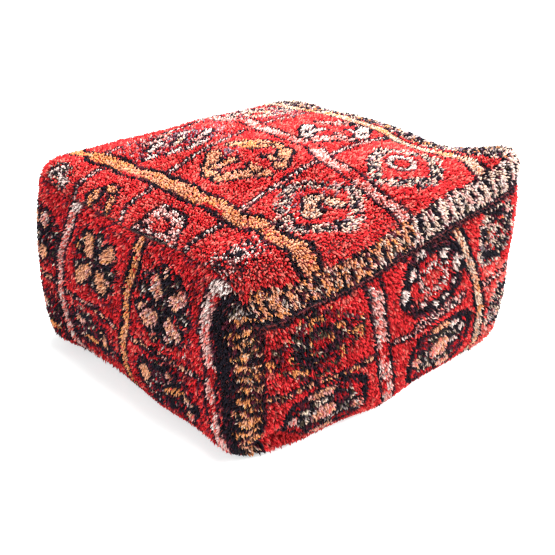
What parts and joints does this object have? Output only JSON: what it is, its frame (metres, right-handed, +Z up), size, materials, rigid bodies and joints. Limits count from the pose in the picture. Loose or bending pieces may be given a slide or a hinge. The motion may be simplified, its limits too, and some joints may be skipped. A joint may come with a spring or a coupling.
{
  "type": "pouf",
  "caption": "Square floor pouf sewn from knotted-pile wool rug panels, crowned and stuffed, with a flat-woven base closed by a zip.",
  "frame": {"origin": "on the floor under the middle of the pouf", "axes": "+Z up, +Y from the front side panel to the back one, +X to the right seen from the front"},
  "size_m": [0.6294, 0.6014, 0.362],
  "materials": {
    "rug_pile": "long hand-knotted wool pile, patterned",
    "base_cloth": "flat-woven cotton",
    "thread": "waxed cotton thread",
    "zip_tape": "woven tape",
    "zip_metal": "dulled brass",
    "liner_cotton": "plain cotton calico",
    "stuffing": "loose textile fill"
  },
  "bodies": {
    "cover": {"top_panel": "rug_pile", "side_panel_front": "rug_pile", "side_panel_right": "rug_pile", "side_panel_back": "rug_pile", "side_panel_left": "rug_pile", "top_seam_thread": "thread", "base_seam_thread": "thread", "corner_thread_front_left": "thread", "corner_thread_front_right": "thread", "corner_thread_back_right": "thread", "corner_thread_back_left": "thread", "base_centre_thread_front": "thread", "base_centre_thread_back": "thread", "base_panel_left": "base_cloth", "base_panel_right": "base_cloth", "zip_tape_left": "zip_tape", "zip_tape_right": "zip_tape", "zip_teeth_left": "zip_metal", "zip_teeth_right": "zip_metal", "zip_top_stop_left": "zip_metal", "zip_top_stop_right": "zip_metal", "zip_bottom_stop": "zip_metal", "liner_bag": "liner_cotton", "stuffing": "stuffing"},
    "slider": {"zip_slider": "zip_metal"},
    "pull": {"zip_pull": "zip_metal"}
  },
  "joints": [
    {"name": "zip_slide", "type": "slide", "parent": "cover", "child": "slider", "axis": [0, -1, 0], "range_m": [0, 0.352], "deforming": ["zip_teeth_left", "zip_teeth_right"]},
    {"name": "pull_hinge", "type": "hinge", "parent": "slider", "child": "pull", "pos_m": [0, 0.1761, 0.0032], "axis": [1, 0, 0], "range_deg": [0, 175]}
  ]
}
